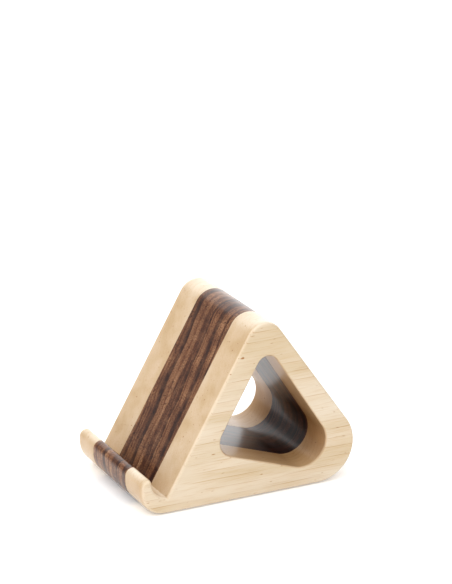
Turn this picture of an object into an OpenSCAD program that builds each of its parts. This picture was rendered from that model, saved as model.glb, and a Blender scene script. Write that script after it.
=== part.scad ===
// Laminated hardwood tablet stand.
// Four boards of one side profile stand side by side along X, lined up on three dowels and glued.
// X runs across the boards, Y runs from the lip (front) to the leg (back), Z is up.
// The origin is on the table, under the middle of the stand.

/* [Overall] */
// Depth from the front of the lip to the back of the leg
stand_depth = 136.3; // [120:0.1:170]
// Thickness of each outer board
side_board_t = 22.5; // [18:0.5:30]
// Thickness of each middle board
centre_board_t = 22.5; // [18:0.5:30]
// Angle of the incline above the table
rest_angle = 60; // [56:1:70]
// Angle of the back of the leg above the table
leg_angle = 54.8; // [50:0.1:60]

/* [Lip and groove] */
// Height of the lip
lip_h = 21.9; // [19:0.1:28]
// Thickness of the lip at its thinnest
lip_t = 6.6; // [5.5:0.1:8]
// Radius on the groove side of the lip's crest
lip_back_r = 2; // [1:0.1:3]
// Radius of the groove that the tablet's lower edge sits in
groove_r = 11.2; // [9:0.1:13]
// Height of the bottom of the groove
groove_floor_h = 9; // [7:0.1:12]
// Thickness of the tablet that the groove is centred on
tablet_t = 7.8; // [6:0.1:12]

/* [Corners] */
// Radius of the lower front corner
front_r = 14.5; // [6:0.5:16]
// Radius of the lower back corner
back_r = 23; // [15:0.1:30]
// Radius of the top
top_r = 12; // [8:0.5:14]

/* [Tunnel] */
// Thickness of the wall behind the incline
front_wall = 14; // [10:0.5:18]
// Thickness of the wall behind the tunnel
back_wall = 18.6; // [14:0.1:24]
// Thickness of the base under the lowest part of the tunnel
base_wall = 12; // [10:0.1:18]
// Slope of the tunnel's floor, down towards the back
tunnel_floor_angle = 19; // [10:1:22]
// Slope of the tunnel's back wall
tunnel_back_angle = 57; // [54:1:60]
// Radius of the tunnel's lower back corner
tunnel_back_r = 15; // [8:0.5:18]
// Radius of the tunnel's lower front corner
tunnel_front_r = 10; // [5:0.5:12]
// Radius of the tunnel's top corner
tunnel_top_r = 7; // [4:0.5:9]

/* [Dowels] */
// Diameter of a dowel
dowel_d = 8; // [6:0.5:8]
// Depth of the dowel holes in the outer boards
dowel_hole_depth = 16; // [12:0.5:17]
// Gap between a dowel's end and the end of its hole
dowel_end_gap = 1; // [0.5:0.1:2]
// Gap for glue around a dowel
dowel_glue_gap = 0.05; // [0.02:0.01:0.2]

/* [Feet] */
// Diameter of a foot
foot_d = 12; // [8:0.5:16]
// Thickness of a foot
foot_t = 2; // [1.5:0.1:3]
// How far a foot stands out of the wood
foot_proud = 0.6; // [0.4:0.1:1]
// Gap around a foot in its recess
foot_gap = 0.1; // [0.05:0.05:0.3]
// Distance from the flat underside's ends to the rim of the nearest foot
foot_inset = 4; // [2:0.5:8]

/* [Hidden] */

$fn = 96;
maple = "#dcc19b";
walnut = "#5a3b28";
beech = "#c9a377";
rubber = "#3a3a3c";

// Cuts run this far past the surfaces that they open.
cut_over = 1;
// Round stretches of the profile take a point at least this often, in degrees.
arc_step = 4;

// The stand reaches this far to each side of its middle plane.
half_w = side_board_t + centre_board_t;

// Profile geometry, with the front of the lip at y = 0 and the underside of the wood at z = 0.
// A line is held as [point, angle of its direction].
function along(angle) = [cos(angle), sin(angle)];
function shifted(line, distance) = [line[0] + distance * along(line[1] + 90), line[1]];
function cross2(a, b) = a[0] * b[1] - a[1] * b[0];
function meet(line_a, line_b) =
    line_a[0] + along(line_a[1]) * cross2(line_b[0] - line_a[0], along(line_b[1]))
                / cross2(along(line_a[1]), along(line_b[1]));
function unit(v) = v / norm(v);
function after_first(points) = [for (i = [1:len(points) - 1]) points[i]];

// Points along a round stretch, between two angles about its centre.
function arc(centre, r, from, to) =
    let (steps = ceil(abs(to - from) / arc_step))
    [for (i = [0:steps]) centre + r * along(from + (to - from) * i / steps)];

// A round corner of radius r, where an outline that runs anticlockwise turns left.
function corner_middle(before, corner, after) = unit(unit(before - corner) + unit(after - corner));
function corner_centre(before, corner, after, r) =
    let (half_angle = acos(unit(before - corner) * corner_middle(before, corner, after)))
    corner + corner_middle(before, corner, after) * r / sin(half_angle);
function corner_arc(before, corner, after, r) =
    let (arrival = corner - before,
         from = atan2(arrival[1], arrival[0]) - 90,
         turn = 180 - acos(unit(before - corner) * unit(after - corner)))
    arc(corner_centre(before, corner, after, r), r, from, from + turn);

// The groove's circle, and the incline that passes behind its centre by half a tablet.
groove_centre = [lip_t + groove_r, groove_floor_h + groove_r];
incline = shifted([groove_centre, rest_angle], -tablet_t / 2);
ground = [[0, 0], 0];
back_centre = [stand_depth - back_r, back_r];
leg = shifted([back_centre, 180 - leg_angle], -back_r);

front_corner = [0, 0];
back_corner = meet(ground, leg);
top_corner = meet(leg, incline);
foot_of_incline = meet(incline, ground);
lip_corner = [0, lip_h];

// The lip's crest: a fillet that is level with the top of the lip and touches the groove's circle.
// The front of the crest rounds off from there to the front face.
crest_reach = groove_r + lip_back_r;
crest_rise = lip_h - lip_back_r - groove_centre[1];
crest_angle = 180 - asin(crest_rise / crest_reach);
crest_centre = groove_centre + crest_reach * along(crest_angle);
lip_front_r = crest_centre[0];

// The lower front corner is as round as asked, or as the front of the lip has room for.
front_corner_r = min(front_r, lip_h - lip_front_r);

// The groove runs from the incline, under its centre, to the crest.
groove_start = rest_angle - 90 - acos(tablet_t / 2 / groove_r);
groove_end = crest_angle - 360;

outline = concat(
    corner_arc(lip_corner, front_corner, back_corner, front_corner_r),
    corner_arc(front_corner, back_corner, top_corner, back_r),
    corner_arc(back_corner, top_corner, foot_of_incline, top_r),
    arc(groove_centre, groove_r, groove_start, groove_end),
    after_first(arc(crest_centre, lip_back_r, crest_angle - 180, 90)),
    after_first(arc([lip_front_r, lip_h - lip_front_r], lip_front_r, 90, 180)));

// The tunnel: its floor and back wall touch one circle, and its front wall follows the incline.
tunnel_back_centre = [stand_depth - back_wall - tunnel_back_r, base_wall + tunnel_back_r];
tunnel_floor = shifted([tunnel_back_centre, -tunnel_floor_angle], -tunnel_back_r);
tunnel_back = shifted([tunnel_back_centre, 180 - tunnel_back_angle], -tunnel_back_r);
tunnel_front = shifted(incline, -front_wall);

tunnel_front_corner = meet(tunnel_front, tunnel_floor);
tunnel_back_corner = meet(tunnel_floor, tunnel_back);
tunnel_top_corner = meet(tunnel_back, tunnel_front);
tunnel = concat(
    corner_arc(tunnel_top_corner, tunnel_front_corner, tunnel_back_corner, tunnel_front_r),
    corner_arc(tunnel_front_corner, tunnel_back_corner, tunnel_top_corner, tunnel_back_r),
    corner_arc(tunnel_back_corner, tunnel_top_corner, tunnel_front_corner, tunnel_top_r));

// Dowels stand in the thickest wood: in the base, behind the tunnel and above it.
tunnel_front_centre = corner_centre(tunnel_top_corner, tunnel_front_corner, tunnel_back_corner, tunnel_front_r);
tunnel_top_centre = corner_centre(tunnel_back_corner, tunnel_top_corner, tunnel_front_corner, tunnel_top_r);
top_centre = corner_centre(back_corner, top_corner, foot_of_incline, top_r);
front_dowel_at = [tunnel_front_centre[0] - tunnel_front_r, (tunnel_front_centre[1] - tunnel_front_r) / 2];
back_dowel_at = (back_centre + back_r * along(-45) + tunnel_back_centre + tunnel_back_r * along(-45)) / 2;
top_dowel_at = (top_centre + [0, top_r] + tunnel_top_centre + [0, tunnel_top_r]) / 2;
dowel_places = [front_dowel_at, back_dowel_at, top_dowel_at];
dowel_hole_d = dowel_d + 2 * dowel_glue_gap;

// Feet stand under the middle of each outer board, inside the flat stretch of the underside.
foot_x = centre_board_t + side_board_t / 2;
front_foot_y = front_corner_r + foot_inset + foot_d / 2;
back_foot_y = back_centre[0] - foot_inset - foot_d / 2;

// The side profile that all four boards share.
module profile() {
    difference() {
        polygon(outline);
        polygon(tunnel);
    }
}

// Turns a profile drawn in Y and Z into a board that starts at x and is t thick.
module board_blank(x, t) {
    translate([x, -stand_depth / 2, foot_proud])
        rotate([90, 0, 90])
            linear_extrude(t)
                profile();
}

// A round bar along X from x, centred on each of the given places of the profile.
module bars(places, x, length, d) {
    for (place = places)
        translate([x, place[0] - stand_depth / 2, place[1] + foot_proud])
            rotate([0, 90, 0])
                cylinder(d = d, h = length);
}

// The recesses for the front and back foot of the outer board on one side.
module foot_recesses(side) {
    for (y = [front_foot_y, back_foot_y])
        translate([side * foot_x, y - stand_depth / 2, -cut_over])
            cylinder(d = foot_d + 2 * foot_gap, h = foot_t + cut_over);
}

module left_side() {
    color(maple)
        difference() {
            board_blank(-half_w, side_board_t);
            bars(dowel_places, -centre_board_t - dowel_hole_depth, dowel_hole_depth + cut_over, dowel_hole_d);
            foot_recesses(-1);
        }
}

module right_side() {
    color(maple)
        difference() {
            board_blank(centre_board_t, side_board_t);
            bars(dowel_places, centre_board_t - cut_over, dowel_hole_depth + cut_over, dowel_hole_d);
            foot_recesses(1);
        }
}

module centre_board(x) {
    color(walnut)
        difference() {
            board_blank(x, centre_board_t);
            bars(dowel_places, x - cut_over, centre_board_t + 2 * cut_over, dowel_hole_d);
        }
}

module centre_left() {
    centre_board(-centre_board_t);
}

module centre_right() {
    centre_board(0);
}

module dowel(place) {
    reach = centre_board_t + dowel_hole_depth - dowel_end_gap;
    color(beech)
        bars([place], -reach, 2 * reach, dowel_d);
}

module front_dowel() {
    dowel(front_dowel_at);
}

module back_dowel() {
    dowel(back_dowel_at);
}

module top_dowel() {
    dowel(top_dowel_at);
}

module foot(side, y) {
    color(rubber)
        translate([side * foot_x, y - stand_depth / 2, 0])
            cylinder(d = foot_d, h = foot_t);
}

module front_left_foot() {
    foot(-1, front_foot_y);
}

module front_right_foot() {
    foot(1, front_foot_y);
}

module back_left_foot() {
    foot(-1, back_foot_y);
}

module back_right_foot() {
    foot(1, back_foot_y);
}

left_side();
centre_left();
centre_right();
right_side();
front_dowel();
back_dowel();
top_dowel();
front_left_foot();
front_right_foot();
back_left_foot();
back_right_foot();
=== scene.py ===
"""Laminated maple and walnut tablet stand: four boards of one profile, three dowels and four feet.

Everything is in metres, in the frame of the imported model: X runs across the boards, Y from the lip to
the leg, and Z up. The boards' profile and the places of the dowels and feet come from that frame.
"""
from math import cos, pi, radians, sin, tau

import bmesh
import bpy
from mathutils import Matrix, Vector


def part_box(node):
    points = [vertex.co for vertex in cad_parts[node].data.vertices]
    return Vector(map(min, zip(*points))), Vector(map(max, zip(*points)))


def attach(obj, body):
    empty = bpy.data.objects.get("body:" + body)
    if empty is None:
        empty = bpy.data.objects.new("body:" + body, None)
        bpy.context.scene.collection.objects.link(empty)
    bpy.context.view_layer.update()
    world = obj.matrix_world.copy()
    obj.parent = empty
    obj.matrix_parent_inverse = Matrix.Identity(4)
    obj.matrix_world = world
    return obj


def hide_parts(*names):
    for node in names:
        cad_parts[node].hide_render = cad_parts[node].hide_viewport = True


MM = 0.001
SAME_PLACE = 0.001 * MM  # points closer than this are one point

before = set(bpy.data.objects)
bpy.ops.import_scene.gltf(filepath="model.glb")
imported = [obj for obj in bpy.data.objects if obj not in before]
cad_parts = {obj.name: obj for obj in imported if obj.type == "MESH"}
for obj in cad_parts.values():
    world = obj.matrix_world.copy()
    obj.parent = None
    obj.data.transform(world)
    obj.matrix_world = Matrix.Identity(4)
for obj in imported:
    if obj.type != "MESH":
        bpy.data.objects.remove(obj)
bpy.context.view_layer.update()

BOARDS = ["left_side", "centre_left", "centre_right", "right_side"]
DOWELS = ["front_dowel", "back_dowel", "top_dowel"]
FEET = ["front_left_foot", "front_right_foot", "back_left_foot", "back_right_foot"]


# ---------------------------------------------------------------- camera, light and floor

def point_along(azimuth, elevation):
    """Unit vector from the object towards a place; azimuth 0 is in front and 90 is to the right."""
    a, e = radians(azimuth), radians(elevation)
    return Vector((sin(a) * cos(e), -cos(a) * cos(e), sin(e)))


def look_from(item, aim, azimuth, elevation, distance):
    """Puts a camera or light at a distance from its aim, facing it, and adds it to the scene."""
    direction = point_along(azimuth, elevation)
    item.location = aim + direction * distance
    item.rotation_euler = (-direction).to_track_quat("-Z", "Y").to_euler()
    bpy.context.collection.objects.link(item)


def add_camera():
    """A long lens that sees the stand from the front right and a little above."""
    data = bpy.data.cameras.new("camera")
    data.lens = 157.2
    data.clip_start = 0.05
    camera = bpy.data.objects.new("camera", data)
    aim = Vector((-3.5, 9.0, 108.7)) * MM
    look_from(camera, aim, azimuth=63.39, elevation=19.21, distance=1474.7 * MM)
    bpy.context.scene.camera = camera


def add_softbox(name, azimuth, elevation, distance, size, power):
    """A rectangular softbox turned to the middle of the stand; metres and watts."""
    data = bpy.data.lights.new(name, "AREA")
    data.shape = "RECTANGLE"
    data.size, data.size_y = size
    data.energy = power
    middle = Vector((0, 0, 0.05))
    look_from(bpy.data.objects.new(name, data), middle, azimuth, elevation, distance)


def add_studio():
    """A white room: an even surround and four softboxes. The tunnel's lacquer mirrors the last one."""
    world = bpy.data.worlds.new("studio")
    world.use_nodes = True
    surround = world.node_tree.nodes["Background"]
    surround.inputs["Color"].default_value = linear("#ffffff")
    surround.inputs["Strength"].default_value = 0.5
    bpy.context.scene.world = world
    add_softbox("overhead_softbox", azimuth=20, elevation=80, distance=1.6, size=(2.4, 2.4), power=18)
    add_softbox("right_softbox", azimuth=80, elevation=25, distance=1.8, size=(1.4, 1.4), power=8)
    add_softbox("front_softbox", azimuth=0, elevation=35, distance=1.8, size=(1.4, 1.4), power=7)
    add_softbox("back_left_softbox", azimuth=250, elevation=16, distance=2.0, size=(2.4, 1.8), power=20)
    bpy.context.scene.view_settings.view_transform = "Standard"
    bpy.context.scene.view_settings.look = "Medium High Contrast"


def add_floor():
    """A sheet of white paper under the stand, too wide to show an edge from above."""
    half_width = 4.0
    corners = [(x * half_width, y * half_width, 0) for x, y in ((-1, -1), (1, -1), (1, 1), (-1, 1))]
    mesh = bpy.data.meshes.new("floor")
    mesh.from_pydata(corners, [], [(0, 1, 2, 3)])
    mesh.materials.append(white_paper())
    floor = bpy.data.objects.new("floor", mesh)
    bpy.context.collection.objects.link(floor)


# ---------------------------------------------------------------- nodes

def linear(hex_colour):
    """A linear RGBA colour from an sRGB hex value."""
    channels = [int(hex_colour[i:i + 2], 16) / 255 for i in (1, 3, 5)]
    return [c / 12.92 if c <= 0.04045 else ((c + 0.055) / 1.055) ** 2.4 for c in channels] + [1.0]


def add(tree, kind, inputs=None, take=0, stops=(), **settings):
    """Adds a node and returns its output named or numbered by take, or the node itself if it has none.

    Settings are the node's own properties, and stops the (position, hex colour) pairs of a ramp. Inputs
    are by name or number: a socket is linked, and anything else is the input's value.
    """
    node = tree.nodes.new(kind)
    for name, value in settings.items():
        setattr(node, name, value)
    for _ in stops[2:]:
        node.color_ramp.elements.new(1.0)
    for element, (position, colour) in zip(node.color_ramp.elements if stops else (), stops):
        element.position, element.color = position, linear(colour)
    for key, value in (inputs or {}).items():
        if isinstance(value, bpy.types.NodeSocket):
            tree.links.new(value, node.inputs[key])
        else:
            node.inputs[key].default_value = value
    return node.outputs[take] if node.outputs else node


def new_material(name):
    """An empty material and its node tree."""
    material = bpy.data.materials.new(name)
    material.use_nodes = True
    material.node_tree.nodes.clear()
    return material, material.node_tree


def finish_material(tree, inputs):
    """Ends a material in one shader with the given inputs."""
    shader = add(tree, "ShaderNodeBsdfPrincipled", inputs)
    add(tree, "ShaderNodeOutputMaterial", {"Surface": shader})


# ---------------------------------------------------------------- materials

def white_paper():
    """Seamless white paper: pale and matt, with barely visible mottling.

    A faint glow of its own keeps it white where the softboxes fall off.
    """
    material, tree = new_material("white_paper")
    blots_per_metre = 6.0
    coords = add(tree, "ShaderNodeTexCoord", take="Object")
    mottle = add(tree, "ShaderNodeTexNoise", {"Vector": coords, "Scale": blots_per_metre, "Detail": 3.0})
    colour = add(tree, "ShaderNodeValToRGB", {"Fac": mottle}, stops=[(0.3, "#f5f5f5"), (0.7, "#f8f8f8")])
    finish_material(tree, {
        "Base Color": colour, "Roughness": 0.8,
        "Emission Color": linear("#ffffff"), "Emission Strength": 0.13})
    return material


# How wide across the grain and how long along it each part of a wood's figure is, in mm. Real fibre
# lines are finer than 0.6 mm, which is about as fine as still shows.
WANDER_SIZE = (26, 120)
RIPPLE_SIZE = (6, 60)
STREAK_SIZE = (12, 90)
FIBRE_SIZE = (0.6, 14)
FLECK_SIZE = (1.4, 6)

# What each part adds to its board's seed, so that no two parts share a pattern.
WANDER, RIPPLE, STREAKS, RING_BREAKS, FIBRES, FLECKS = range(0, 240, 40)

# How far one step of the seed moves a pattern along X, Y and Z, in widths and lengths of its blots.
SEED_STEP = (3.7, 5.3, 1.9)


def grain_noise(tree, coords, seed, size, detail=2.0):
    """Noise drawn out along the grain, which runs along Y, with blots of the given size in mm.

    Each seed gives another place in the tree that the wood came from.
    """
    across, along = size
    place = add(tree, "ShaderNodeMapping", {
        "Vector": coords, "Location": tuple(seed * step for step in SEED_STEP),
        "Scale": (1 / across / MM, 1 / along / MM, 1 / across / MM)})
    return add(tree, "ShaderNodeTexNoise", {"Vector": place, "Scale": 1.0, "Detail": detail})


def growth_rings(tree, coords, seed, look):
    """How far through its year the wood is, from 0 in early wood to 1 in late wood.

    The rings cross the boards' width every ring_spacing mm, turned ring_tilt degrees from X towards Z.
    Slow noise makes them wander by up to ring_wander mm, and quicker noise makes their spacing uneven.
    An even wood ends each year in a sharp line, and an uneven one has stripes of every tone.
    """
    spacing, tilt = look["ring_spacing"], radians(look["ring_tilt"])
    direction = (cos(tilt) / spacing / MM, 0, sin(tilt) / spacing / MM)
    turns = add(tree, "ShaderNodeVectorMath", {0: coords, 1: direction}, "Value", operation="DOT_PRODUCT")
    waves = [(WANDER, WANDER_SIZE, look["ring_wander"]), (RIPPLE, RIPPLE_SIZE, look["ring_ripple"])]
    for part, size, amount in waves:
        noise = grain_noise(tree, coords, seed + part, size, 1.0)
        turns = add(tree, "ShaderNodeMath", {0: noise, 1: amount / spacing, 2: turns},
                    operation="MULTIPLY_ADD")
    if look["ring_kind"] == "even":
        return add(tree, "ShaderNodeMath", {0: turns}, operation="FRACT")
    return add(tree, "ShaderNodeTexNoise", {"W": turns, "Scale": 1.0, "Detail": 2.0}, noise_dimensions="1D")


def squareness(tree, axis):
    """How squarely a face looks along an axis: 1 where it looks straight along it and 0 across it."""
    facing = add(tree, "ShaderNodeNewGeometry", take="Normal")
    share = add(tree, "ShaderNodeVectorMath", {0: facing, 1: axis}, "Value", operation="DOT_PRODUCT")
    return add(tree, "ShaderNodeMath", {0: share, 1: share}, operation="MULTIPLY")


def tunnel_wall_mask(tree):
    """1 on the tunnel's wall and 0 elsewhere. It places the painted shade of the tunnel and its stronger
    rings.

    Across the flat sides the attribute fades from the tunnel to the outline, so it is kept off them.
    """
    tunnel = add(tree, "ShaderNodeAttribute", take="Fac", attribute_name="in_tunnel")
    off_side = add(tree, "ShaderNodeMath", {0: 1.0, 1: squareness(tree, (1, 0, 0))}, operation="SUBTRACT")
    return add(tree, "ShaderNodeMath", {0: tunnel, 1: off_side}, operation="MULTIPLY")


def ring_strength(tree, coords, seed, look, end_grain, in_tunnel):
    """How strongly growth rings show: they come and go along the board, within ring_share.

    On end grain they drop to end_rings of that, and in the tunnel routed_rings is added.
    """
    weakest, strongest = look["ring_share"]
    along_board = add(tree, "ShaderNodeMapRange", {
        "Value": grain_noise(tree, coords, seed + RING_BREAKS, look["ring_break"], 1.0),
        "From Min": 0.4, "From Max": 0.6, "To Min": weakest, "To Max": strongest})
    end_fade = add(tree, "ShaderNodeMath", {0: end_grain, 1: look["end_rings"] - 1, 2: 1.0},
                   operation="MULTIPLY_ADD")
    faded = add(tree, "ShaderNodeMath", {0: along_board, 1: end_fade}, operation="MULTIPLY")
    return add(tree, "ShaderNodeMath", {0: in_tunnel, 1: look["routed_rings"], 2: faded},
               operation="MULTIPLY_ADD")


def lacquered_wood(name, seed, look):
    """Hardwood sawn along the grain, sanded and sprayed with a clear lacquer.

    The eye gets long soft streaks of tone, growth rings that agree on every face and come and go along
    the board, fine fibre lines, a few short flecks, another tone on end grain, painted shade on the
    tunnel's wall, a painted highlight along the arrises, and a satin coat over it all.
    """
    material, tree = new_material(name)
    coords = add(tree, "ShaderNodeTexCoord", take="Object")
    streaks = grain_noise(tree, coords, seed + STREAKS, STREAK_SIZE, 1.5)
    rings = growth_rings(tree, coords, seed, look)
    fibres = grain_noise(tree, coords, seed + FIBRES, FIBRE_SIZE)
    flecks = grain_noise(tree, coords, seed + FLECKS, FLECK_SIZE, 1.0)
    end_grain = squareness(tree, (0, 1, 0))
    in_tunnel = tunnel_wall_mask(tree)
    # The tunnel's tone is painted shade: it deepens the wall of the tunnel, which lies in shade.
    layers = [
        ("rings", rings, ring_strength(tree, coords, seed, look, end_grain, in_tunnel)),
        ("fibres", fibres, 1.0),
        ("flecks", flecks, 1.0),
        ("end_grain", end_grain, 1.0),
        ("in_tunnel", in_tunnel, 1.0)]
    colour = add(tree, "ShaderNodeValToRGB", {"Fac": streaks}, stops=look["streaks"])
    for part, value, share in layers:
        tone = add(tree, "ShaderNodeValToRGB", {"Fac": value}, stops=look[part])
        colour = add(tree, "ShaderNodeMix", {0: share, 6: colour, 7: tone}, 2,
                     data_type="RGBA", blend_type="MULTIPLY")
    # The arris tone is a painted highlight: a paler line along the rounded edges, where lamps catch them.
    arris = add(tree, "ShaderNodeAttribute", take="Fac", attribute_name="arris")
    arris_highlight = add(tree, "ShaderNodeMath", {0: arris, 1: look["arris_highlight_share"]}, operation="MULTIPLY")
    colour = add(tree, "ShaderNodeMix", {0: arris_highlight, 6: colour, 7: linear(look["arris"])}, 2,
                 data_type="RGBA")
    smoothest, roughest = look["roughness"]
    rough = add(tree, "ShaderNodeMapRange", {"Value": fibres, "To Min": smoothest, "To Max": roughest})
    bump = add(tree, "ShaderNodeBump", {
        "Height": fibres, "Strength": 0.3, "Distance": look["pore_depth"] * MM})
    finish_material(tree, {
        "Base Color": colour, "Roughness": rough, "Normal": bump, "IOR": 1.5, "Specular IOR Level": 0.1,
        "Coat Weight": look["coat"], "Coat Roughness": look["coat_roughness"], "Coat IOR": 1.5})
    return material


# Hard maple: cream, with faint, thin, broken ring lines and a few brown flecks. End grain is a little
# deeper and nearly free of lines. The tunnel's wall gets painted shade, warmer and deeper, and the
# arrises a paler painted highlight.
MAPLE = {
    "streaks": [(0.3, "#cab79a"), (0.5, "#d3c3ac"), (0.7, "#d9ccb9")],
    "ring_kind": "even", "ring_spacing": 3.0, "ring_tilt": 32, "ring_wander": 1.8, "ring_ripple": 0.4,
    "ring_share": (0.0, 0.8), "ring_break": (5, 24),
    "rings": [(0.0, "#ffffff"), (0.87, "#fcf8f2"), (0.92, "#d0aa82"), (0.95, "#ffffff")],
    "fibres": [(0.3, "#f8f2ea"), (0.5, "#ffffff")],
    "flecks": [(0.72, "#ffffff"), (0.8, "#c2966a")],
    "end_grain": [(0.0, "#ffffff"), (1.0, "#e8d8c4")], "end_rings": 0.1,
    # Painted shade on the tunnel's wall, then a painted highlight along the arrises.
    "in_tunnel": [(0.0, "#ffffff"), (1.0, "#ecd4b0")], "routed_rings": 0.35,
    "arris": "#f2e6d4", "arris_highlight_share": 0.4,
    "roughness": (0.35, 0.5), "pore_depth": 0.02, "coat": 0.6, "coat_roughness": 0.26}

# Black walnut: uneven light and dark brown stripes, with open pores. End grain keeps the full tone, the
# other faces are a little deeper, and painted shade makes the tunnel's wall the darkest.
WALNUT = {
    "streaks": [(0.3, "#7a5439"), (0.5, "#946d4f"), (0.7, "#b08c6c")],
    "ring_kind": "uneven", "ring_spacing": 4.6, "ring_tilt": 6, "ring_wander": 7, "ring_ripple": 1.0,
    "ring_share": (0.75, 1.0), "ring_break": (4, 30),
    "rings": [(0.34, "#6f5040"), (0.46, "#9c7b66"), (0.54, "#ecdccc"), (0.66, "#ffffff")],
    "fibres": [(0.35, "#a08c7c"), (0.6, "#ffffff")],
    "flecks": [(0.66, "#ffffff"), (0.76, "#6a4e3a")],
    "end_grain": [(0.0, "#dccbbb"), (1.0, "#ffffff")], "end_rings": 1.0,
    # Painted shade on the tunnel's wall, then a painted highlight along the arrises.
    "in_tunnel": [(0.0, "#ffffff"), (1.0, "#a8866e")], "routed_rings": 0.0,
    "arris": "#8a6a52", "arris_highlight_share": 0.3,
    "roughness": (0.35, 0.5), "pore_depth": 0.04, "coat": 0.6, "coat_roughness": 0.26}


def turned_beech():
    """Bare turned beech: warm pinkish tan with short dark ray flecks along the dowel, and no gloss."""
    material, tree = new_material("turned_beech")
    coords = add(tree, "ShaderNodeTexCoord", take="Object")
    fleck_length, fleck_width = 8 * MM, 0.7 * MM
    place = add(tree, "ShaderNodeMapping", {
        "Vector": coords, "Scale": (1 / fleck_length, 1 / fleck_width, 1 / fleck_width)})
    rays = add(tree, "ShaderNodeTexNoise", {"Vector": place, "Scale": 1.0, "Detail": 3.0})
    colour = add(tree, "ShaderNodeValToRGB", {"Fac": rays},
                 stops=[(0.35, "#b98d66"), (0.5, "#cda67d"), (0.7, "#d8b48c")])
    rough = add(tree, "ShaderNodeMapRange", {"Value": rays, "To Min": 0.55, "To Max": 0.7})
    bump = add(tree, "ShaderNodeBump", {"Height": rays, "Strength": 0.3, "Distance": 0.05 * MM})
    finish_material(tree, {"Base Color": colour, "Roughness": rough, "Normal": bump})
    return material


def moulded_rubber():
    """Moulded rubber: charcoal and matt, with the fine grained skin that a sparked mould leaves."""
    material, tree = new_material("moulded_rubber")
    coords = add(tree, "ShaderNodeTexCoord", take="Object")
    grain_size = 0.4 * MM
    grain = add(tree, "ShaderNodeTexNoise", {"Vector": coords, "Scale": 1 / grain_size, "Detail": 2.0})
    colour = add(tree, "ShaderNodeValToRGB", {"Fac": grain}, stops=[(0.3, "#232325"), (0.7, "#343437")])
    rough = add(tree, "ShaderNodeMapRange", {"Value": grain, "To Min": 0.68, "To Max": 0.86})
    bump = add(tree, "ShaderNodeBump", {"Height": grain, "Strength": 0.4, "Distance": 0.08 * MM})
    finish_material(tree, {"Base Color": colour, "Roughness": rough, "Normal": bump})
    return material


# ---------------------------------------------------------------- geometry nodes

def new_tree(name, kinds):
    """A Geometry Nodes tree with geometry in and out, and inputs of the given kinds by name."""
    tree = bpy.data.node_groups.new(name, "GeometryNodeTree")
    tree.interface.new_socket("Geometry", in_out="INPUT", socket_type="NodeSocketGeometry")
    tree.interface.new_socket("Geometry", in_out="OUTPUT", socket_type="NodeSocketGeometry")
    for label, kind in kinds.items():
        tree.interface.new_socket(label, in_out="INPUT", socket_type="NodeSocket" + kind)
    return tree, tree.nodes.new("NodeGroupInput").outputs


def close_tree(tree, geometry, material):
    """Ends a tree in Realize Instances and Set Material."""
    real = add(tree, "GeometryNodeRealizeInstances", {"Geometry": geometry})
    painted = add(tree, "GeometryNodeSetMaterial", {"Geometry": real, "Material": material})
    add(tree, "NodeGroupOutput", {"Geometry": painted})


def grow(name, tree, start, values):
    """A plain mesh object, made by running a tree on a start mesh with input values by name.

    Empty material slots that come before the tree's own material are dropped, and edges that turn by
    more than steepest_smooth stay crisp.
    """
    piece = bpy.data.objects.new(name, start)
    bpy.context.collection.objects.link(piece)
    modifier = piece.modifiers.new("grow", "NODES")
    modifier.node_group = tree
    for item in tree.interface.items_tree:
        if item.in_out == "INPUT" and item.name in values:
            modifier[item.identifier] = values[item.name]
    evaluated = piece.evaluated_get(bpy.context.evaluated_depsgraph_get())
    mesh = bpy.data.meshes.new_from_object(evaluated)
    mesh.name = name
    piece.modifiers.clear()
    piece.data = mesh
    while mesh.materials[0] is None:
        mesh.materials.pop(index=0)
    steepest_smooth = radians(28)
    mesh.shade_smooth()
    mesh.set_sharp_from_angle(angle=steepest_smooth)
    return piece


def strip_lines(tree, given):
    """The lines that a board's strip follows, from the left face round both arrises to the right face.

    Each line gives the place of every point of the profile. A line also runs a holding gap past each end
    of an arris, so that smooth shading keeps to the arris.
    """
    gap = given["Holding Gap"]
    into_wood, profile = (
        add(tree, "GeometryNodeInputNamedAttribute", {"Name": name}, data_type="FLOAT_VECTOR")
        for name in ("into_wood", "profile"))
    ease_in, ease_across = (
        add(tree, "GeometryNodeInputNamedAttribute", {"Name": name}, data_type="FLOAT")
        for name in ("ease_in", "ease_across"))

    def line(side, turn, in_gap=0, across_gap=0):
        """The line `turn` degrees round one side's arris, from its flat face, or a gap past the arris."""
        face, easing = given[side + " Face"], given[side + " Easing"]
        inwards = 1 if side == "Left" else -1
        share_in, share_across = 1 - sin(radians(turn)), 1 - cos(radians(turn))
        full_inset = add(tree, "ShaderNodeMath", {0: ease_in, 1: easing}, operation="MULTIPLY")
        arris_inset = add(tree, "ShaderNodeMath", {0: full_inset, 1: share_in}, operation="MULTIPLY")
        inset = add(tree, "ShaderNodeMath", {0: gap, 1: in_gap, 2: arris_inset}, operation="MULTIPLY_ADD")
        full_step = add(tree, "ShaderNodeMath", {0: ease_across, 1: easing}, operation="MULTIPLY")
        arris_height = add(tree, "ShaderNodeMath", {0: full_step, 1: inwards * share_across, 2: face},
                           operation="MULTIPLY_ADD")
        height = add(tree, "ShaderNodeMath", {0: gap, 1: inwards * across_gap, 2: arris_height},
                     operation="MULTIPLY_ADD")
        moved = add(tree, "ShaderNodeVectorMath", {0: into_wood, "Scale": inset}, operation="SCALE")
        place = add(tree, "ShaderNodeVectorMath", {0: profile, 1: moved})
        lift = add(tree, "ShaderNodeCombineXYZ", {"Z": height})
        return add(tree, "ShaderNodeVectorMath", {0: place, 1: lift})

    lines = {}
    for side in ("Left", "Right"):
        arris = [line(side, turn) for turn in range(0, 91, 18)]
        lines[side] = [line(side, 0, in_gap=1)] + arris + [line(side, 90, across_gap=1)]
    return lines["Left"] + lines["Right"][::-1]


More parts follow.
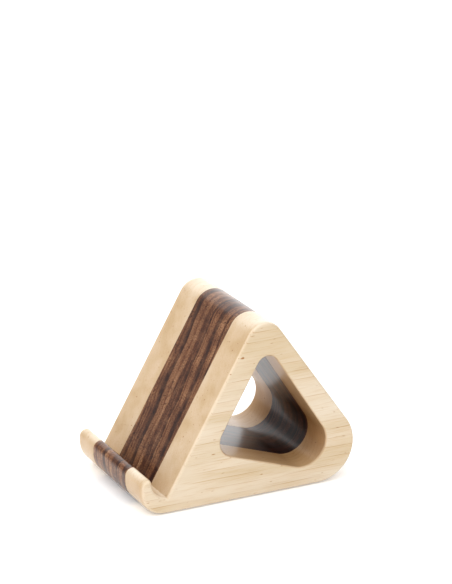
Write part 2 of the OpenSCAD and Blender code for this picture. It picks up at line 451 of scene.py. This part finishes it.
def extruded_strip(tree, start, lines):
    """A strip of faces that follows the lines one after another, drawn out from the start's edges."""
    strip = add(tree, "GeometryNodeSetPosition", {"Geometry": start, "Position": lines[0]})
    new_edges = True
    for line in lines[1:]:
        extruded = add(tree, "GeometryNodeExtrudeMesh", {
            "Mesh": strip, "Selection": new_edges, "Offset": (0, 0, 0)}, mode="EDGES").node
        new_edges = extruded.outputs["Top"]
        strip = add(tree, "GeometryNodeSetPosition", {
            "Geometry": extruded.outputs["Mesh"], "Selection": new_edges, "Position": line})
    return add(tree, "GeometryNodeFlipFaces", {"Mesh": strip})


def filled_face(tree, start, line, height):
    """The flat face between the outline's line and the tunnel's, at a height in the tree's Z."""
    ring = add(tree, "GeometryNodeSetPosition", {"Geometry": start, "Position": line})
    curve = add(tree, "GeometryNodeMeshToCurve", {"Mesh": ring})
    fill = add(tree, "GeometryNodeFillCurve", {"Curve": curve}, mode="TRIANGLES")
    lift = add(tree, "ShaderNodeCombineXYZ", {"Z": height})
    return add(tree, "GeometryNodeTransform", {"Geometry": fill, "Translation": lift})


def arris_highlight_mask(tree, given):
    """Where the painted highlight falls: the depth in mm from the nearer end of each arris, and 0 off the
    arrises.
    """
    position = add(tree, "GeometryNodeInputPosition")
    across = add(tree, "ShaderNodeSeparateXYZ", {"Vector": position}, "X")
    arris_highlight = 0.0
    for side in ("Left", "Right"):
        easing = given[side + " Easing"]
        half_easing = add(tree, "ShaderNodeMath", {0: easing, 1: 0.5}, operation="MULTIPLY")
        from_face = add(tree, "ShaderNodeMath", {0: across, 1: given[side + " Face"]}, operation="SUBTRACT")
        depth = add(tree, "ShaderNodeMath", {0: from_face}, operation="ABSOLUTE")
        past_middle = add(tree, "ShaderNodeMath", {0: depth, 1: half_easing}, operation="SUBTRACT")
        from_middle = add(tree, "ShaderNodeMath", {0: past_middle}, operation="ABSOLUTE")
        from_end = add(tree, "ShaderNodeMath", {0: half_easing, 1: from_middle}, operation="SUBTRACT")
        on_arris = add(tree, "ShaderNodeMath", {0: from_end, 1: 0.0}, operation="MAXIMUM")
        arris_highlight = add(tree, "ShaderNodeMath", {0: on_arris, 1: 1 / MM, 2: arris_highlight}, operation="MULTIPLY_ADD")
    return arris_highlight


def eased_board_tree():
    """A board from its profile, drawn in the tree's X and Y and stood up at the end.

    A strip with a rounded arris at each side follows the outline and the tunnel, filled faces close it,
    and cutters take out the holes. The start mesh is the profile's edges, as profile_mesh() makes it.
    """
    tree, given = new_tree("eased_board", {
        "Left Face": "Float", "Right Face": "Float", "Left Easing": "Float", "Right Easing": "Float",
        "Holding Gap": "Float", "Cutters": "Object", "Material": "Material"})
    start = given["Geometry"]
    lines = strip_lines(tree, given)
    strip = extruded_strip(tree, start, lines)
    left_face = filled_face(tree, start, lines[0], given["Left Face"])
    left_face_outwards = add(tree, "GeometryNodeFlipFaces", {"Mesh": left_face})
    right_face = filled_face(tree, start, lines[-1], given["Right Face"])
    joined = tree.nodes.new("GeometryNodeJoinGeometry")  # its one socket takes every part
    for part in (strip, left_face_outwards, right_face):
        tree.links.new(part, joined.inputs[0])
    closed = add(tree, "GeometryNodeMergeByDistance", {
        "Geometry": joined.outputs[0], "Distance": SAME_PLACE})
    upright = add(tree, "GeometryNodeTransform", {"Geometry": closed, "Rotation": (pi / 2, 0, pi / 2)})
    cutters = add(tree, "GeometryNodeObjectInfo", {"Object": given["Cutters"]}, "Geometry")
    drilled = add(tree, "GeometryNodeMeshBoolean", {"Mesh 1": upright, "Mesh 2": cutters},
                  operation="DIFFERENCE", solver="MANIFOLD")
    # The arris attribute places the painted highlight along the arrises.
    marked = add(tree, "GeometryNodeStoreNamedAttribute", {
        "Geometry": drilled, "Name": "arris", "Value": arris_highlight_mask(tree, given)},
        data_type="FLOAT", domain="POINT")
    close_tree(tree, marked, given["Material"])
    return tree


def turned_piece_tree():
    """A round piece from its section, a line of points from pole to pole in the start mesh's X and Z.

    A grid has one row for each point of the section and one column for each spoke round the axis.
    Flutes press the skin in evenly; their depth is a share of the radius. The piece is then turned from
    the tree's Z to its own axis and put in its place.
    """
    tree, given = new_tree("turned_piece", {
        "Spokes": "Int", "Flutes": "Int", "Flute Depth": "Float", "Turn": "Rotation", "Place": "Vector",
        "Material": "Material"})
    rows = add(tree, "GeometryNodeAttributeDomainSize", {"Geometry": given["Geometry"]}, "Point Count")
    columns = add(tree, "ShaderNodeMath", {0: given["Spokes"], 1: 1.0})
    grid = add(tree, "GeometryNodeMeshGrid", {"Vertices X": rows, "Vertices Y": columns})
    index = add(tree, "GeometryNodeInputIndex")
    rows_passed = add(tree, "ShaderNodeMath", {0: index, 1: columns}, operation="DIVIDE")
    row = add(tree, "ShaderNodeMath", {0: rows_passed}, operation="FLOOR")
    spoke = add(tree, "ShaderNodeMath", {0: index, 1: columns}, operation="MODULO")
    share_of_turn = add(tree, "ShaderNodeMath", {0: spoke, 1: given["Spokes"]}, operation="DIVIDE")
    angle = add(tree, "ShaderNodeMath", {0: share_of_turn, 1: tau}, operation="MULTIPLY")
    flute_angle = add(tree, "ShaderNodeMath", {0: angle, 1: given["Flutes"]}, operation="MULTIPLY")
    wave = add(tree, "ShaderNodeMath", {0: flute_angle}, operation="COSINE")
    hollow = add(tree, "ShaderNodeMath", {0: wave, 1: 0.0}, operation="MAXIMUM")
    pressed = add(tree, "ShaderNodeMath", {0: hollow, 1: given["Flute Depth"]}, operation="MULTIPLY")
    kept = add(tree, "ShaderNodeMath", {0: 1.0, 1: pressed}, operation="SUBTRACT")
    section = add(tree, "GeometryNodeSampleIndex", {
        "Geometry": given["Geometry"], "Index": row, "Value": add(tree, "GeometryNodeInputPosition")},
        data_type="FLOAT_VECTOR", domain="POINT")
    fluted = add(tree, "ShaderNodeVectorMath", {0: section, "Scale": kept}, operation="SCALE")
    radius = add(tree, "ShaderNodeSeparateXYZ", {"Vector": fluted}, "X")
    level = add(tree, "ShaderNodeSeparateXYZ", {"Vector": section}, "Z")
    cosine = add(tree, "ShaderNodeMath", {0: angle}, operation="COSINE")
    sine = add(tree, "ShaderNodeMath", {0: angle}, operation="SINE")
    x = add(tree, "ShaderNodeMath", {0: radius, 1: cosine}, operation="MULTIPLY")
    y = add(tree, "ShaderNodeMath", {0: radius, 1: sine}, operation="MULTIPLY")
    place = add(tree, "ShaderNodeCombineXYZ", {"X": x, "Y": y, "Z": level})
    skin = add(tree, "GeometryNodeSetPosition", {"Geometry": grid, "Position": place})
    closed = add(tree, "GeometryNodeMergeByDistance", {"Geometry": skin, "Distance": SAME_PLACE})
    outwards = add(tree, "GeometryNodeFlipFaces", {"Mesh": closed})
    placed = add(tree, "GeometryNodeTransform", {
        "Geometry": outwards, "Rotation": given["Turn"], "Translation": given["Place"]})
    close_tree(tree, placed, given["Material"])
    return tree


# ---------------------------------------------------------------- pieces

def merged_copy(node):
    """A CAD node's mesh as a bmesh, with its loose triangles joined."""
    mesh = bmesh.new()
    mesh.from_mesh(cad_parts[node].data)
    bmesh.ops.remove_doubles(mesh, verts=mesh.verts, dist=SAME_PLACE)
    return mesh


def profile_loops(node):
    """The outline and the tunnel of a board, as (y, z) points that have the wood on their left.

    The faces are kept in a list and not in a set, so that the points come in the same order every run.
    """
    mesh = merged_copy(node)
    left = min(v.co.x for v in mesh.verts)
    face = [f for f in mesh.faces if all(v.co.x < left + SAME_PLACE for v in f.verts)]
    before = {}
    for polygon in face:
        for loop in polygon.loops:
            if sum(f in face for f in loop.edge.link_faces) == 1:
                before[loop.link_loop_next.vert] = loop.vert
    loops = []
    while before:
        last, vert = before.popitem()
        loop = [last]
        while vert is not last:
            loop.append(vert)
            vert = before.pop(vert)
        loops.append([Vector((v.co.y, v.co.z)) for v in loop])
    mesh.free()
    loops.sort(key=lambda loop: max(p.x for p in loop) - min(p.x for p in loop), reverse=True)
    return loops[:2]


# How round an arris is, as shares of its side's easing: in from the edge, and across from the face.
OUTLINE_EASE = (0.85, 1.0)
LIP_EXTRA_EASE = (0.45, 1.2)
TUNNEL_EASE = (0.6, 0.6)


def mitre_at(before, point, after):
    """The way into the wood at a corner, long enough to move both of its edges in by 1."""
    arrival = (point - before).normalized()
    departure = (after - point).normalized()
    first, second = (Vector((-way.y, way.x)) for way in (arrival, departure))
    return (first + second) / (1 + first.dot(second))


def arris_at(point, mitre, lip_top):
    """The way into the wood at a point of the outline, and its shares of the easing in and across.

    The lip is rounded as full as a thumb. There the arris heads for the lip's core, a line up its middle,
    so it can be fuller than the crest is round. The core line runs up to core_drop below the crest, and
    the arris turns to it from the mitre over turn_height, starting turn_drop below the crest. Behind the
    front, at Y = lip_top.x, the extra rounding fades out over lip_reach.
    """
    lip_reach, core_depth, core_drop = 14 * MM, 3.6 * MM, 4.3 * MM
    turn_height, turn_drop = 4 * MM, 11.5 * MM
    fade_steepness = 4
    near = max(0.0, 1 - (point.x - lip_top.x) / lip_reach)
    above = min(1.0, max(0.0, (point.y - lip_top.y) / turn_height + turn_drop / turn_height))
    core = Vector((lip_top.x + core_depth, min(point.y, lip_top.y - core_drop)))
    way = mitre.lerp((core - point).normalized(), above * min(1.0, fade_steepness * near))
    ease_in, ease_across = (plain + extra * near for plain, extra in zip(OUTLINE_EASE, LIP_EXTRA_EASE))
    return way, ease_in, ease_across


def profile_mesh(loops):
    """The start mesh of a board: the edges of its outline and its tunnel.

    Its points carry "profile", their place; "into_wood", the way into the wood; "ease_in" and
    "ease_across", how round the arris is there; and "routed", 0 on the outline and 1 on the tunnel.
    """
    points, edges, into_wood, eases = [], [], [], []
    lip_thickness = 8 * MM
    front = min(p.x for p in loops[0])
    lip_top = Vector((front, max(p.y for p in loops[0] if p.x < front + lip_thickness)))
    for in_tunnel, loop in enumerate(loops):
        first, count = len(points), len(loop)
        edges += [(first + i, first + (i + 1) % count) for i in range(count)]
        for i, point in enumerate(loop):
            mitre = mitre_at(loop[i - 1], point, loop[(i + 1) % count])
            way, ease_in, ease_across = (mitre, *TUNNEL_EASE) if in_tunnel else arris_at(point, mitre, lip_top)
            into_wood.append(way)
            eases.append((ease_in, ease_across, in_tunnel))
        points += loop
    mesh = bpy.data.meshes.new("profile")
    mesh.from_pydata([(*p, 0) for p in points], edges, [])
    for name, values in (("profile", points), ("into_wood", into_wood)):
        attribute = mesh.attributes.new(name, "FLOAT_VECTOR", "POINT")
        attribute.data.foreach_set("vector", [c for v in values for c in (*v, 0)])
    for column, name in enumerate(("ease_in", "ease_across", "in_tunnel")):
        attribute = mesh.attributes.new(name, "FLOAT", "POINT")
        attribute.data.foreach_set("value", [ease[column] for ease in eases])
    return mesh


def hole_cutters():
    """Round cutters for the dowel holes and the foot recesses, as one object that isn't shown.

    A dowel's hole runs an end gap past both of its ends, and a foot's recess opens downwards.
    """
    glue_gap, end_gap, recess_gap = 0.05 * MM, 1 * MM, 0.1 * MM
    cutters = [(node, 0, glue_gap, end_gap) for node in DOWELS]
    cutters += [(node, 2, recess_gap, 0) for node in FEET]
    turns = {0: Matrix.Rotation(pi / 2, 4, "Y"), 2: Matrix.Identity(4)}
    mesh = bmesh.new()
    for node, axis, side_gap, far_gap in cutters:
        low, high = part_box(node)
        low[axis] -= end_gap
        high[axis] += far_gap
        radius = (high.y - low.y) / 2 + side_gap
        bmesh.ops.create_cone(mesh, cap_ends=True, segments=64, radius1=radius, radius2=radius,
                              depth=high[axis] - low[axis],
                              matrix=Matrix.Translation((low + high) / 2) @ turns[axis])
    data = bpy.data.meshes.new("cutters")
    mesh.to_mesh(data)
    mesh.free()
    return bpy.data.objects.new("cutters", data)


def add_boards():
    """The four boards: one profile, with full arrises on the outer faces and fine ones at the glue."""
    looks = {"left_side": ("lacquered_maple", MAPLE, 5), "centre_left": ("lacquered_walnut", WALNUT, 2),
             "centre_right": ("lacquered_walnut", WALNUT, 9), "right_side": ("lacquered_maple", MAPLE, 1)}
    face_easing, glued_easing, holding_gap = 1.8 * MM, 0.12 * MM, 0.4 * MM
    loops = profile_loops("centre_left")
    tree = eased_board_tree()
    cutters = hole_cutters()
    bpy.context.collection.objects.link(cutters)
    for node in BOARDS:
        low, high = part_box(node)
        slot, look, seed = looks[node]
        board = grow(node + "_board", tree, profile_mesh(loops), {
            "Left Face": low.x, "Right Face": high.x,
            "Left Easing": face_easing if node == BOARDS[0] else glued_easing,
            "Right Easing": face_easing if node == BOARDS[-1] else glued_easing,
            "Holding Gap": holding_gap, "Cutters": cutters,
            "Material": lacquered_wood(slot + "_" + node, seed, look)})
        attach(board, "root")
        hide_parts(node)
    bpy.data.objects.remove(cutters)


def section_mesh(points):
    """The start mesh of a turned piece: its section's (radius, level) points, joined in order."""
    mesh = bpy.data.meshes.new("section")
    mesh.from_pydata([(radius, 0, level) for radius, level in points],
                     [(i, i + 1) for i in range(len(points) - 1)], [])
    return mesh


def add_turned(node, tree, points, values):
    """One turned piece, which stands in for its CAD node."""
    piece = grow(node + "_turned", tree, section_mesh(points), values)
    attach(piece, "root")
    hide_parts(node)


def add_dowels(tree):
    """Fluted dowels: the flutes let glue spread, and the ends are chamfered to find their holes."""
    chamfer, beech = 0.8 * MM, turned_beech()
    for node in DOWELS:
        low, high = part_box(node)
        radius, half = (high.z - low.z) / 2, (high.x - low.x) / 2
        points = [(0, -half), (radius - chamfer, -half), (radius, chamfer - half),
                  (radius, half - chamfer), (radius - chamfer, half), (0, half)]
        add_turned(node, tree, points, {
            "Spokes": 144, "Flutes": 18, "Flute Depth": 0.06, "Turn": (0, pi / 2, 0),
            "Place": (low + high) / 2, "Material": beech})


def add_feet(tree):
    """Round rubber feet: a rim rounded by the mould, and rings of tread that stand on the table."""
    rim_r, tread_depth, ring_pitch, ring_width = 0.4 * MM, 0.25 * MM, 1.1 * MM, 0.6 * MM
    draft = 0.1 * MM
    rubber = moulded_rubber()
    for node in FEET:
        low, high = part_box(node)
        radius, top = (high.x - low.x) / 2, high.z
        points = [(0, tread_depth)]
        inner = ring_pitch
        while inner + ring_pitch + rim_r < radius:
            points += [(inner, tread_depth), (inner + draft, 0), (inner + ring_width - draft, 0),
                       (inner + ring_width, tread_depth)]
            inner += ring_pitch
        points += [(inner, tread_depth), (inner + draft, 0)]
        turns = [radians(t) for t in range(-90, 91, 15)]
        points += [(radius - rim_r + rim_r * cos(t), rim_r * (1 + sin(t))) for t in turns if t <= 0]
        points += [(radius - rim_r + rim_r * cos(t), top - rim_r * (1 - sin(t))) for t in turns if t >= 0]
        points.append((0, top))
        add_turned(node, tree, points, {
            "Spokes": 72, "Place": ((low.x + high.x) / 2, (low.y + high.y) / 2, 0), "Material": rubber})


add_camera()
add_studio()
add_floor()
add_boards()
turned_tree = turned_piece_tree()
add_dowels(turned_tree)
add_feet(turned_tree)
